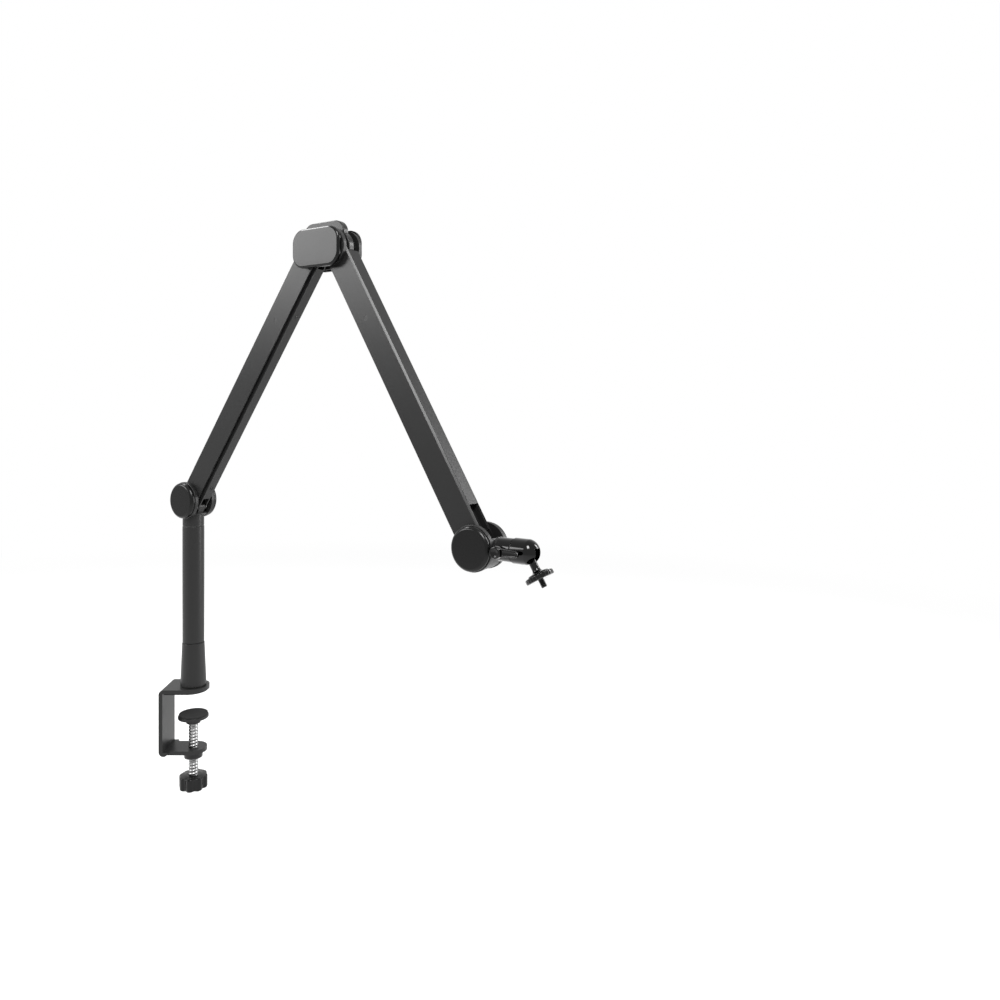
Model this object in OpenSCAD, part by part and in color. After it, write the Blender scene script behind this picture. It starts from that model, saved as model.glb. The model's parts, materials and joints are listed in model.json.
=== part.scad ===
// Desk-clamped microphone boom arm: two spring-balanced parallelogram arms on a
// swivelling riser, with a small ball head and a threaded stud at the far end.
// Origin: the desk surface on the riser's axis. +Z is up and the clamp closes on
// the desk's left edge (-X). The arms lie in one upright plane, turned about the riser.

/* [Pose] */
// Turn of the arms about the riser, seen from above, clockwise from +X
yaw = 33.6; // [-60:0.1:60]
// Lower arm's angle above the horizontal
lower_angle = 54.1; // [45:0.1:65]
// Upper arm's angle below the horizontal
upper_angle = 59.2; // [50:0.1:65]
// Angle of the ball stud below the horizontal
stud_angle = 59; // [50:1:70]

/* [Clamp] */
// Thickness of the clamp's steel plate
plate_t = 5; // [4:0.5:7]
// Width of the clamp across the desk's edge
plate_w = 44; // [40:1:54]
// Distance from the riser's axis to the clamp's back
clamp_reach = 37; // [34:1:50]
// Rubber under the top plate
pad_t = 1.5; // [1:0.25:3]
// Thickest desk that the clamp takes
desk_max = 60; // [45:1:70]
// Thickness of the desk that it stands on at rest
desk_t = 30; // [24:1:38]
// Diameter of the clamp screw
clamp_screw_d = 12; // [10:0.5:14]
// Diameter of the pressure plate
press_d = 38; // [34:1:40]
// Diameter of the clamp's hand knob
clamp_knob_d = 36; // [30:1:44]

/* [Riser] */
// Length of the riser tube
riser_l = 150; // [100:5:200]
// Outer diameter of the riser tube
riser_d = 27; // [25:0.5:32]
// Wall of the riser tube
riser_wall = 2.5; // [2:0.25:3]
// Height of the tapered socket
socket_h = 55.5; // [45:0.5:70]
// Diameter of the socket at its foot
socket_foot_d = 32.4; // [31:0.2:38]
// Diameter of the swivel spigot under the base head
spigot_d = 16; // [14:0.5:17]
// Height of the shoulder pivot above the top of the riser tube
shoulder_h = 33.7; // [31:0.1:38]

/* [Arms] */
// Distance between the two pivots of each arm
arm_l = 370; // [320:5:420]
// Depth of an arm's section
arm_h = 31; // [30:0.5:34]
// Width of an arm's section
arm_w = 20; // [19.5:0.5:24]
// Wall of an arm's section
arm_wall = 1.8; // [1.5:0.1:2.2]
// Depth of the cable channel in an arm's back
channel_h = 8; // [7:0.25:8.5]
// Thickness of the cable channel's cover
cover_t = 1.5; // [1:0.1:2]
// Length of channel that is left open at the far end of each arm
channel_open = 40; // [32:1:60]
// Distance between the two arm pivots in the elbow
elbow_s = 37; // [36:0.5:44]
// Diameter of the main pivot pins
pin_d = 8; // [7:0.5:8.5]

/* [Links] */
// Width of a link bar
link_w = 12; // [11:0.5:12.5]
// Depth of a link bar
link_h = 6; // [5:0.25:6.5]
// Thickness of a link bar's walls
link_wall = 1.5; // [1.2:0.1:1.8]
// Diameter of the link pins
link_pin_d = 4; // [3:0.25:4.5]
// Lower link's pivot, ahead of the arm's pivot
lower_link_x = 14.5; // [13.5:0.25:15]
// Lower link's pivot, below the arm's pivot
lower_link_z = 8; // [7:0.25:8.5]
// Upper link's pivot, behind the arm's pivot
upper_link_x = 10; // [9.5:0.25:10.5]
// Upper link's pivot, below the arm's pivot
upper_link_z = 13; // [12.5:0.25:13.25]

/* [Springs] */
// Outer diameter of the balance springs
spring_d = 10.5; // [9:0.25:11]
// Wire of the balance springs
spring_wire = 1.6; // [1.2:0.1:2]
// Curls in each spring
spring_curls = 36; // [30:1:40]

/* [Joint housings] */
// Diameter of the round ears at the shoulder and the wrist
ear_d = 47; // [46.5:0.5:52]
// Thickness of an ear
ear_t = 4.5; // [4:0.25:6]
// Thickness of a cover on an ear
cap_t = 5.5; // [5:0.25:7]
// Diameter of a round cover
cap_d = 45; // [43:0.5:48]
// Rounding of a cover's edge
cap_round = 2.1; // [1.5:0.1:3]
// Length of the oblong elbow cover
elbow_cap_l = 71; // [66:0.5:76]
// Height of the oblong elbow cover
elbow_cap_h = 44; // [41:0.5:48]
// Corner radius of the oblong elbow cover
elbow_cap_r = 16; // [12:0.5:20]
// Thickness of the elbow's core between the arms' cheeks
core_t = 8.4; // [7.5:0.1:8.4]
// Height of the elbow's hump above its pivots
hump_h = 31; // [28:0.5:34]

/* [Ball head] */
// Distance from the wrist pivot to the centre of the ball
ball_x = 55; // [54:0.5:60]
// Diameter of the ball head's body
head_d = 23.4; // [22:0.2:25]
// Diameter of the ball
ball_d = 14; // [13:0.5:15]
// Diameter of the ball's neck
neck_d = 8.4; // [7:0.2:9]
// Distance from the ball's centre to the flange
neck_l = 21; // [19:0.5:26]
// Diameter of the lock ring
ring_d = 29; // [26:0.5:32]
// Thickness of the lock ring
ring_t = 5.5; // [4:0.25:7]
// Diameter of the microphone thread, 1/4 inch
thread_d = 6.35; // [6:0.05:10]
// Length of the microphone thread past the lock ring
thread_l = 8; // [6:0.5:10]

/* [Hidden] */
$fn = 64;

black = [0.09, 0.09, 0.095];
satin_black = [0.13, 0.13, 0.135];
gloss_black = [0.05, 0.05, 0.055];
steel = [0.62, 0.62, 0.64];
chrome = [0.8, 0.8, 0.82];
nylon = [0.3, 0.3, 0.31];
rubber = [0.07, 0.07, 0.07];

// Named clearances
fit = 0.05;      // a shaft in its own bore, on the radius
loose = 0.15;    // the open pivot at a link bar's far end, on the radius
gap = 0.3;       // between curved faces of different bodies
side_gap = 0.5;  // between an arm's cheek and an ear
eps = 0.01;      // lets a cut run past a face

// Heights above the desk
plate_top = pad_t + plate_t;
socket_top = plate_top + socket_h;
riser_bottom = socket_top + gap;
riser_top = riser_bottom + riser_l;
bush_flange_t = 0.8;
head_bottom = riser_top + bush_flange_t;
shoulder_z = riser_top + shoulder_h;

// Pivots in the arms' plane, as [x, z]
link_o = [lower_link_x, -lower_link_z];
link_u = [-upper_link_x, -upper_link_z];
p_shoulder = [0, shoulder_z];
p_elbow_l = p_shoulder + arm_l * [cos(lower_angle), sin(lower_angle)];
p_elbow_u = p_elbow_l + [elbow_s, 0];
p_wrist = p_elbow_u + arm_l * [cos(upper_angle), -sin(upper_angle)];
p_ball = p_wrist + [ball_x, 0];

// Depths across the arms' plane; the front is -Y
cheek_y = arm_w / 2;
ear_y = cheek_y + side_gap;
ear_out = ear_y + ear_t;
cap_out = ear_out + cap_t;

// Arm section
inner_w = arm_w - 2 * arm_wall;
arm_r = arm_h / 2;
channel_floor = arm_r - channel_h;
floor_t = 1.8;
channel_w = inner_w - 2.4;
cover_w = inner_w - 0.2;
bush_d = pin_d + 7;
pocket_r = 19.4;      // radius kept clear of the shell's back around an elbow pivot
back_start = 14;      // where the shell's back begins, from an elbow pivot
floor_start = 12;     // where the channel's floor ends, from a shoulder or wrist pivot

// Housings
ear_r = ear_d / 2;
drum_r = ear_r - 3.2;
drum_step = 0.6;      // the wall between two ears lies this much inside them
core_r = 18.8;
hump_r = 14;
hump_back = 19;
hump_front = 15;
plate_r = 20.5;
boss_r = 7.8;
lug_r = 3.8;
lug_step = 0.5;       // a lug's arm is this much slimmer than its eye, on each side
link_lug_t = link_w - 2 * link_wall - 0.6;

// Positions a child in the arms' plane at [x, z]
module arm_plane(p = [0, 0]) {
  rotate([0, 0, -yaw])
    translate([p[0], 0, p[1]])
      children();
}

// A cylinder across the arms' plane, from y0 to y1
module across(d, y0, y1, p = [0, 0]) {
  translate([p[0], y1, p[1]])
    rotate([90, 0, 0])
      cylinder(d = d, h = y1 - y0);
}

// A 2D outline in the arms' plane, extruded from y0 to y1
module slab(y0, y1) {
  translate([0, y1, 0])
    rotate([90, 0, 0])
      linear_extrude(y1 - y0)
        children();
}

// A 2D wedge of a ring between two angles, less than a half turn in each step
module sector(r, a0, a1) {
  mid = (a0 + a1) / 2;
  polygon([
    [0, 0],
    2 * r * [cos(a0), sin(a0)],
    2 * r * [cos((a0 + mid) / 2), sin((a0 + mid) / 2)],
    2 * r * [cos(mid), sin(mid)],
    2 * r * [cos((a1 + mid) / 2), sin((a1 + mid) / 2)],
    2 * r * [cos(a1), sin(a1)]
  ]);
}

// Half section of a plate whose upper edge is rounded
module edge_profile(r, t, e) {
  square([r, t - e]);
  square([r - e, t]);
  translate([r - e, t - e])
    intersection() {
      circle(e);
      square(e);
    }
}

// Full section of the same plate
module edge_profile_full(r, t, e) {
  edge_profile(r, t, e);
  mirror([1, 0])
    edge_profile(r, t, e);
}

// A plate with rounded corners r and a rounded upper edge e, standing on z = 0
module soft_plate(w, h, r, t, e) {
  cx = w / 2 - r;
  cy = h / 2 - r;
  for (sx = cx > 0 ? [-1, 1] : [0], sy = cy > 0 ? [-1, 1] : [0])
    translate([sx * cx, sy * cy, 0])
      rotate_extrude()
        edge_profile(r, t, e);
  if (cx > 0)
    rotate([90, 0, 90])
      translate([0, 0, -cx])
        linear_extrude(2 * cx)
          edge_profile_full(h / 2, t, e);
  if (cy > 0)
    rotate([90, 0, 0])
      translate([0, 0, -cy])
        linear_extrude(2 * cy)
          edge_profile_full(w / 2, t, e);
}

// The same plate laid across the arms' plane: its flat side at |y| = y0, side -1 front, 1 rear
module side_plate(side, y0, w, h, r, t, e) {
  translate([0, side * y0, 0])
    rotate([side < 0 ? 90 : -90, 0, 0])
      soft_plate(w, h, r, t, e);
}

// Points of a spring along +X: a hook in the XY plane, the curls, and a hook in the XZ plane
function spring_path(l, r) = let (
  step = l / (spring_curls * spring_steps),
  c0 = -spring_lead - hook_r,
  c1 = l + spring_lead + hook_r
) concat(
  [for (a = [310:-30:40]) [c0 + hook_r * cos(a), hook_r * sin(a), 0]],
  [
    for (i = [-spring_steps / 4:spring_curls * spring_steps])
      let (a = 360 * i / spring_steps)
        [step * i, r * sin(a), r * cos(a)]
  ],
  [for (a = [220:30:490]) [c1 + hook_r * cos(a), 0, hook_r * sin(a)]]
);

// Least distance between the wire's surfaces, from points at least half a curl apart
function self_gap(p, d) = let (apart = spring_steps / 2 + 1, reach = 2 * spring_steps) min([
  for (i = [0:len(p) - 1 - apart], j = [i + apart:min(i + reach, len(p) - 1)])
    norm(p[j] - p[i]) - d
]);

function unit(v) = v / norm(v);
function tangent(p, i) = unit(p[min(i + 1, len(p) - 1)] - p[max(i - 1, 0)]);
function carry(u, t) = unit(u - (u * t) * t);

// A round wire swept along points, its rings turned as little as they can be
module wire(points, d, sides) {
  n = len(points);
  frames = [
    for (i = 0, u = carry([0, 0, 1], tangent(points, 0)); i < n;
         i = i + 1, u = i < n ? carry(u, tangent(points, i)) : u)
      [u, cross(tangent(points, i), u)]
  ];
  rings = [
    for (i = [0:n - 1], k = [0:sides - 1])
      points[i] + d / 2 * (cos(360 * k / sides) * frames[i][0] + sin(360 * k / sides) * frames[i][1])
  ];
  sides_faces = [
    for (i = [0:n - 2], k = [0:sides - 1], half = [0, 1])
      let (a = i * sides + k, b = i * sides + (k + 1) % sides)
        half == 0 ? [a, a + sides, b] : [b, a + sides, b + sides]
  ];
  first = [for (k = [1:sides - 2]) [0, k, k + 1]];
  last = [for (k = [1:sides - 2]) [(n - 1) * sides, (n - 1) * sides + k + 1, (n - 1) * sides + k]];
  polyhedron(points = rings, faces = concat(sides_faces, first, last));
}

// CLAMP

// The desk clamp's steel C: top plate with a round nose, back wall, lower arm and screw boss
jaw_z = -(desk_max + 13);
boss_h = 8;
bend_r = 6;
screw_r = clamp_screw_d / 2;
nose_x = -2;
nose_r = plate_w / 2;
jaw_w = plate_w - 8;
jaw_nose = 17;
module clamp_outline() {
  translate([nose_x, 0])
    circle(nose_r);
  translate([-clamp_reach + bend_r, -plate_w / 2])
    square([clamp_reach - bend_r + nose_x, plate_w]);
}
module clamp_side() {
  // The bent strip seen from the side, as [x, z]
  difference() {
    union() {
      translate([-clamp_reach, jaw_z - plate_t + bend_r])
        square([plate_t, plate_top - jaw_z + plate_t - 2 * bend_r]);
      for (z = [plate_top - bend_r, jaw_z - plate_t + bend_r])
        translate([-clamp_reach + bend_r, z])
          circle(bend_r);
    }
    translate([-clamp_reach + plate_t, jaw_z])
      square([bend_r * 2, pad_t - jaw_z]);
  }
}
module clamp_frame() {
  color(satin_black)
    difference() {
      union() {
        translate([0, 0, pad_t])
          linear_extrude(plate_t)
            clamp_outline();
        intersection() {
          slab(-plate_w / 2, plate_w / 2)
            clamp_side();
          translate([-clamp_reach - 1, -plate_w / 2, jaw_z - plate_t])
            cube([bend_r + 1 + plate_t, plate_w, plate_top - jaw_z + plate_t]);
        }
        translate([0, 0, jaw_z - plate_t])
          linear_extrude(plate_t) {
            circle(jaw_nose);
            translate([-clamp_reach + bend_r, -jaw_nose])
              square([clamp_reach - bend_r, 2 * jaw_nose]);
          }
        translate([0, 0, jaw_z - plate_t - boss_h])
          cylinder(d = clamp_screw_d + 11, h = boss_h + eps);
      }
      translate([0, 0, jaw_z - plate_t - boss_h - 1])
        cylinder(r = screw_r + fit, h = boss_h + plate_t + 2);
      for (a = [60, 180, 300])
        translate([socket_bolt_r * cos(a), socket_bolt_r * sin(a), pad_t - 1]) {
          cylinder(d = socket_bolt_d + 2 * fit, h = plate_t + 2);
          cylinder(d = socket_head_d + 2 * gap, h = 1 + socket_head_h + fit);
        }
    }
}

// Rubber sheet glued under the top plate
module clamp_top_pad() {
  color(rubber)
    difference() {
      intersection() {
        linear_extrude(pad_t)
          offset_outline(1.5);
        translate([-clamp_reach + plate_t + 1, -plate_w, 0])
          cube([2 * plate_w, 2 * plate_w, pad_t]);
      }
      for (a = [60, 180, 300])
        translate([socket_bolt_r * cos(a), socket_bolt_r * sin(a), -1])
          cylinder(d = socket_head_d + 2 * gap, h = pad_t + 2);
    }
}
module offset_outline(inset) {
  translate([nose_x, 0])
    circle(nose_r - inset);
  translate([-clamp_reach, -plate_w / 2 + inset])
    square([clamp_reach + nose_x, plate_w - 2 * inset]);
}

// Pressure plate on the screw's tip, with its rubber pad
press_top = -desk_t;
press_pad_t = 2;
press_t = 3.5;
press_hub_h = 6.5;
press_z = press_top - press_pad_t - press_t;
tip_z = press_z - 0.5;
knob_h = 17;
knob_top = jaw_z - plate_t - boss_h - (desk_t - 10) - 3;
module pressure_plate() {
  color(satin_black)
    difference() {
      union() {
        translate([0, 0, press_z])
          rotate_extrude()
            edge_profile(press_d / 2, press_t, 1);
        translate([0, 0, press_z - press_hub_h])
          cylinder(d = clamp_screw_d + 6, h = press_hub_h + eps);
      }
      translate([0, 0, press_z - press_hub_h - 1])
        cylinder(r = screw_r + fit, h = press_hub_h + 1);
    }
}
module pressure_pad() {
  color(rubber)
    translate([0, 0, press_top - press_pad_t])
      cylinder(d = press_d - 2, h = press_pad_t);
}
module clamp_screw() {
  color(steel)
    translate([0, 0, knob_top - 10])
      cylinder(r = screw_r, h = tip_z - knob_top + 10);
}
module clamp_knob() {
  lobes = 8;
  color(black)
    difference() {
      translate([0, 0, knob_top - knob_h])
        rotate_extrude()
          difference() {
            edge_profile(clamp_knob_d / 2, knob_h, 2.5);
            translate([clamp_knob_d / 2 - 3, -1])
              rotate(-30)
                square([6, 6]);
          }
      for (i = [0:lobes - 1])
        rotate(360 * (i + 0.5) / lobes)
          translate([clamp_knob_d / 2 + 2.6, 0, knob_top - knob_h - 1])
            cylinder(r = 5, h = knob_h + 2);
      translate([0, 0, knob_top - 10])
        cylinder(r = screw_r + fit, h = 11);
    }
}

// RISER

// Tapered socket bolted to the clamp, with a blind bore for the riser's plug
plug_r = riser_d / 2 - riser_wall - 0.5;
plug_depth = 40;
socket_bolt_r = 11;
socket_bolt_d = 5;
socket_head_d = 9;
socket_head_h = 3;
foot_groove = 0.9;
set_screw_d = 6;
set_z = plate_top + socket_h / 2;
module riser_socket() {
  color(satin_black)
    difference() {
      rotate_extrude()
        polygon([
          [0, plate_top],
          [socket_foot_d / 2 - 1.2, plate_top],
          [socket_foot_d / 2 - 1.2, plate_top + foot_groove],
          [socket_foot_d / 2, plate_top + foot_groove + 0.4],
          [riser_d / 2 + 0.4, socket_top - 0.6],
          [riser_d / 2 - 0.2, socket_top],
          [0, socket_top]
        ]);
      translate([0, 0, socket_top - plug_depth])
        cylinder(r = plug_r + fit, h = plug_depth + 1);
      for (a = [60, 180, 300])
        translate([socket_bolt_r * cos(a), socket_bolt_r * sin(a), plate_top - 1])
          cylinder(d = socket_bolt_d + 2 * fit, h = 11);
      translate([0, 0, set_z])
        rotate([-90, 0, 0])
          cylinder(d = set_screw_d + 2 * fit, h = socket_foot_d);
    }
}
module socket_screws() {
  color(steel)
    for (a = [60, 180, 300])
      translate([socket_bolt_r * cos(a), socket_bolt_r * sin(a), 0]) {
        translate([0, 0, pad_t])
          difference() {
            cylinder(d = socket_head_d, h = socket_head_h);
            translate([0, 0, -1])
              cylinder(d = 4.6, h = 2.6, $fn = 6);
          }
        translate([0, 0, pad_t + 1])
          cylinder(d = socket_bolt_d, h = plate_t + 7);
      }
}
module socket_set_screw() {
  socket_r = riser_d / 2 + 0.4 + (socket_foot_d - riser_d) / 4;
  color(steel)
    translate([0, 0, set_z])
      rotate([-90, 0, 0])
        difference() {
          translate([0, 0, plug_r])
            cylinder(d = set_screw_d, h = socket_r - plug_r - 0.8);
          translate([0, 0, socket_r - 3])
            cylinder(d = 3.5, h = 5, $fn = 6);
        }
}
module riser_tube() {
  color(satin_black)
    translate([0, 0, riser_bottom])
      rotate_extrude()
        difference() {
          translate([riser_d / 2 - riser_wall, 0])
            square([riser_wall, riser_l]);
          for (z = [0, riser_l])
            translate([riser_d / 2, z])
              rotate(45)
                square(0.9, center = true);
        }
}
plug_up = 30;
module riser_plug() {
  color(steel)
    difference() {
      union() {
        translate([0, 0, socket_top - plug_depth + 1])
          cylinder(r = plug_r, h = plug_depth - 1 + gap);
        translate([0, 0, riser_bottom])
          cylinder(r = riser_d / 2 - riser_wall - fit, h = plug_up);
      }
      translate([0, 0, socket_top - plug_depth])
        cylinder(d = 9, h = plug_depth + plug_up + 2);
    }
}
bush_l = 34;
module swivel_bush() {
  color(nylon)
    rotate_extrude() {
      translate([spigot_d / 2 + fit, riser_top - bush_l])
        square([riser_d / 2 - riser_wall - fit - spigot_d / 2 - fit, bush_l + eps]);
      translate([spigot_d / 2 + fit, riser_top])
        square([riser_d / 2 - 0.7 - spigot_d / 2 - fit, bush_flange_t - 0.1]);
    }
}
module swivel_retainer() {
  color(steel)
    arm_plane() {
      translate([0, 0, riser_top - bush_l - 4.2])
        cylinder(r = riser_d / 2 - riser_wall - 1.2, h = 4);
      translate([0, 0, riser_top - bush_l - 0.3])
        cylinder(d = 6, h = 14);
    }
}

// BASE HEAD

// Yoke on the riser: two round ears, a curved saddle between them, a lug for the link and a spigot
saddle_from = -150;
saddle_to = -48;
module ears(r) {
  for (s = [-1, 1])
    side_plate(s, ear_y, 2 * r, 2 * r, r, ear_t, 0.7);
}
module drum_wall(a0, a1) {
  slab(-ear_y - eps, ear_y + eps)
    intersection() {
      difference() {
        circle(ear_r - drum_step);
        circle(drum_r);
      }
      sector(ear_r, a0, a1);
    }
}
module pin_holes(p_link) {
  across(pin_d + 2 * fit, -ear_out - 1, ear_out + 1);
  across(link_pin_d + 2 * fit, -link_lug_t, link_lug_t, p_link);
}
module link_lug(p_link, a) {
  // The tongue that carries the link's pin, from the drum's wall at angle a
  foot = (drum_r + 1) * [cos(a), sin(a)];
  dir = foot - p_link;
  across(2 * lug_r, -link_lug_t / 2, link_lug_t / 2, p_link);
  slab(-link_lug_t / 2, link_lug_t / 2)
    translate(p_link)
      rotate(atan2(dir[1], dir[0]))
        translate([0, lug_step - lug_r])
          square([norm(dir), 2 * (lug_r - lug_step)]);
}
module base_head() {
  color(satin_black)
    arm_plane(p_shoulder)
      difference() {
        union() {
          ears(ear_r);
          drum_wall(saddle_from, saddle_to);
          difference() {
            translate([0, 0, head_bottom - shoulder_z])
              cylinder(d = riser_d - 0.4, h = shoulder_z - head_bottom - 9);
            across(2 * drum_r, -ear_y - eps, ear_y + eps);
          }
          link_lug(link_o, -68);
          translate([0, 0, riser_top - bush_l - shoulder_z])
            cylinder(d = spigot_d, h = bush_l + bush_flange_t + eps);
        }
        pin_holes(link_o);
        translate([0, 0, riser_top - bush_l - 1 - shoulder_z])
          cylinder(d = 6 + 2 * fit, h = 17);
      }
}

// A main pivot: shaft between the ears, with a low head and a nut in the covers' pockets
pin_head_d = 13;
pin_head_h = 2.6;
module main_pin() {
  across(pin_d, -ear_out - eps, ear_out + eps);
  across(pin_head_d, -ear_out - pin_head_h, -ear_out);
  translate([0, ear_out + pin_head_h, 0])
    rotate([90, 0, 0])
      cylinder(d = pin_head_d, h = pin_head_h, $fn = 6);
}
module link_pin() {
  across(link_pin_d, -link_w / 2 - 0.4, link_w / 2 + 0.4);
  for (s = [-1, 1])
    translate([0, s * (link_w / 2 + 0.8), 0])
      rotate([90, 0, 0])
        cylinder(d = link_pin_d + 2, h = 1, center = true);
}
module shoulder_pin() {
  color(steel)
    arm_plane(p_shoulder)
      main_pin();
}
module shoulder_link_pin() {
  color(steel)
    arm_plane(p_shoulder + link_o)
      link_pin();
}

// Round cover on an ear, hollow behind for the pin's head
module round_cover(side) {
  difference() {
    side_plate(side, ear_out, cap_d, cap_d, cap_d / 2, cap_t, cap_round);
    across(pin_head_d + 5, side < 0 ? -ear_out - 3.4 : ear_out - 1, side < 0 ? -ear_out + 1 : ear_out + 3.4);
  }
}
module base_front_cover() {
  color(black)
    arm_plane(p_shoulder)
      round_cover(-1);
}
module base_rear_cover() {
  color(black)
    arm_plane(p_shoulder)
      round_cover(1);
}

// ARMS

// Places a child in an arm's own frame: X from its first pivot to its second, Z its back
module lower_frame(p = p_shoulder) {
  arm_plane(p)
    rotate([0, -lower_angle, 0])
      children();
}
module upper_frame(p = p_elbow_u) {
  arm_plane(p)
    rotate([0, upper_angle, 0])
      children();
}

// Section of the shell, as [y, z] with the back at +z
back_r = 2.2;
module arm_section() {
  difference() {
    union() {
      translate([-arm_w / 2, -arm_r])
        square([arm_w, arm_h - back_r]);
      translate([-arm_w / 2 + back_r, -arm_r])
        square([arm_w - 2 * back_r, arm_h]);
      for (s = [-1, 1])
        translate([s * (arm_w / 2 - back_r), arm_r - back_r])
          circle(back_r);
    }
    translate([-inner_w / 2, -arm_r - 1])
      square([inner_w, arm_r + 1 + channel_floor - floor_t]);
    translate([-channel_w / 2, channel_floor])
      square([channel_w, channel_h + 1]);
    translate([-inner_w / 2, arm_r - cover_t])
      square([inner_w, cover_t + 1]);
  }
}
// Shell with its elbow end at x = arm_l
module arm_shell() {
  difference() {
    intersection() {
      translate([-arm_r, 0, 0])
        rotate([90, 0, 90])
          linear_extrude(arm_l + 2 * arm_r)
            arm_section();
      slab(-arm_w, arm_w) {
        circle(arm_r);
        translate([0, -arm_r])
          square([arm_l, arm_h]);
        translate([arm_l, 0])
          circle(arm_r);
      }
    }
    // Room for the joints between the cheeks
    translate([-arm_r - 1, -inner_w / 2, -arm_r - 1])
      cube([arm_r + 1 + floor_start, inner_w, arm_h + 2]);
    across(2 * pocket_r, -inner_w / 2, inner_w / 2, [arm_l, 0]);
    translate([arm_l - back_start, -inner_w / 2, 0])
      cube([arm_r + back_start + 1, inner_w, arm_r + 1]);
    // Bores for the bushes and the spring's pin
    for (x = [0, arm_l])
      across(bush_d + 2 * fit, -arm_w, arm_w, [x, 0]);
    across(spring_pin_d + 2 * fit, -arm_w, arm_w, [arm_l - spring_pin_x, spring_z]);
  }
}
module lower_arm_shell() {
  color(satin_black)
    lower_frame()
      arm_shell();
}
// The upper arm is the same shell, turned end for end so that its elbow end is the first pivot
module flip_arm() {
  translate([arm_l, 0, 0])
    mirror([1, 0, 0])
      children();
}
module upper_arm_shell() {
  color(satin_black)
    upper_frame()
      flip_arm()
        arm_shell();
}

// Bushes: one long hub at the plain end, one on each side of the core at the elbow end
bush_out = cheek_y + side_gap - 0.2;
module arm_bushes() {
  difference() {
    union() {
      across(bush_d, -bush_out, bush_out);
      for (s = [-1, 1])
        across(bush_d, s < 0 ? -bush_out : core_t / 2 + 0.2, s < 0 ? -core_t / 2 - 0.2 : bush_out, [arm_l, 0]);
    }
    for (x = [0, arm_l])
      across(pin_d + 2 * fit, -arm_w, arm_w, [x, 0]);
  }
}
module lower_arm_bushes() {
  color(nylon)
    lower_frame()
      arm_bushes();
}
module upper_arm_bushes() {
  color(nylon)
    upper_frame()
      flip_arm()
        arm_bushes();
}

// Cover of the cable channel, held by magnets, with a rib down each side
module channel_cover() {
  x0 = channel_open;
  x1 = arm_l - back_start - 0.4;
  translate([x0, -cover_w / 2, arm_r - cover_t + fit])
    cube([x1 - x0, cover_w, cover_t - fit]);
  for (s = [-1, 1])
    translate([x0 + 2, s * (channel_w / 2 - 1.1) - 0.6, arm_r - cover_t - 1.6])
      cube([x1 - x0 - pocket_r, 1.2, 2]);
}
module lower_channel_cover() {
  color(satin_black)
    lower_frame()
      channel_cover();
}
module upper_channel_cover() {
  color(satin_black)
    upper_frame()
      flip_arm()
        channel_cover();
}

// LINK BARS

// A U-shaped bar from pin to pin, its web cut back where it straddles the lugs
web_start = 15;
module link_bar(screws) {
  difference() {
    union() {
      for (x = [0, arm_l])
        across(2 * lug_r, -link_w / 2, link_w / 2, [x, 0]);
      translate([0, -link_w / 2, -link_h / 2])
        cube([arm_l, link_w, link_h]);
    }
    translate([web_start, -link_w / 2 + link_wall, -link_h / 2 + link_wall])
      cube([arm_l - 2 * web_start, link_w - 2 * link_wall, link_h]);
    for (x = [-lug_r - 1, arm_l - web_start - eps])
      translate([x, -link_w / 2 + link_wall, -lug_r - 1])
        cube([web_start + lug_r + 1 + eps, link_w - 2 * link_wall, 2 * lug_r + 2]);
    across(link_pin_d + 2 * fit, -link_w, link_w);
    across(link_pin_d + 2 * loose, -link_w, link_w, [arm_l, 0]);
    for (x = screws)
      translate([x, 0, -link_h])
        cylinder(d = link_screw_d + 2 * fit, h = link_h);
  }
}
link_screw_x = [32, 290];
link_screw_d = 3;
module link_screws() {
  for (x = link_screw_x)
    translate([x, 0, -link_h / 2]) {
      translate([0, 0, -0.8])
        difference() {
          cylinder(d = 5, h = 0.8);
          translate([0, 0, -1])
            cylinder(d = 2.3, h = 1.5, $fn = 6);
        }
      translate([0, 0, -eps])
        cylinder(d = link_screw_d, h = link_wall + 3);
    }
}
// Folded lug on the bar that takes the spring's hook, its eye at [eye_x, eye_z]
lug_t = 2.4;
eye_x = 56;
module spring_lug(eye_z) {
  base_z = -link_h / 2 + link_wall;
  difference() {
    union() {
      translate([link_screw_x[0] - 7, -link_w / 2 + link_wall + 0.2, base_z])
        cube([34, link_w - 2 * link_wall - 0.4, 2]);
      slab(-lug_t / 2, lug_t / 2) {
        translate([eye_x - 10, base_z])
          square([12, 5]);
        translate([eye_x - 2.8, base_z])
          square([4.8, eye_z - base_z]);
        translate([eye_x - 0.4, eye_z])
          circle(2.4);
      }
    }
    across(spring_wire + 1, -lug_t, lug_t, [eye_x, eye_z]);
    translate([link_screw_x[0], 0, -link_h])
      cylinder(d = link_screw_d + 2 * fit, h = 2 * link_h);
  }
}
// Nylon block that keeps the bar central between the cheeks
module link_glide() {
  base_z = -link_h / 2 + link_wall;
  difference() {
    union() {
      translate([link_screw_x[1] - 9, -link_w / 2 + link_wall + 0.2, base_z])
        cube([18, link_w - 2 * link_wall - 0.4, link_h - link_wall]);
      translate([link_screw_x[1] - 9, -inner_w / 2 + gap, link_h / 2])
        cube([18, inner_w - 2 * gap, 2]);
    }
    translate([link_screw_x[1], 0, -link_h])
      cylinder(d = link_screw_d + 2 * fit, h = 2 * link_h - 1);
  }
}

// SPRINGS

spring_pin_d = 5;
spring_pin_x = 95;
spring_z = -1;
hook_r = 3.6;
spring_steps = 8;
spring_lead = 6;
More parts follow.
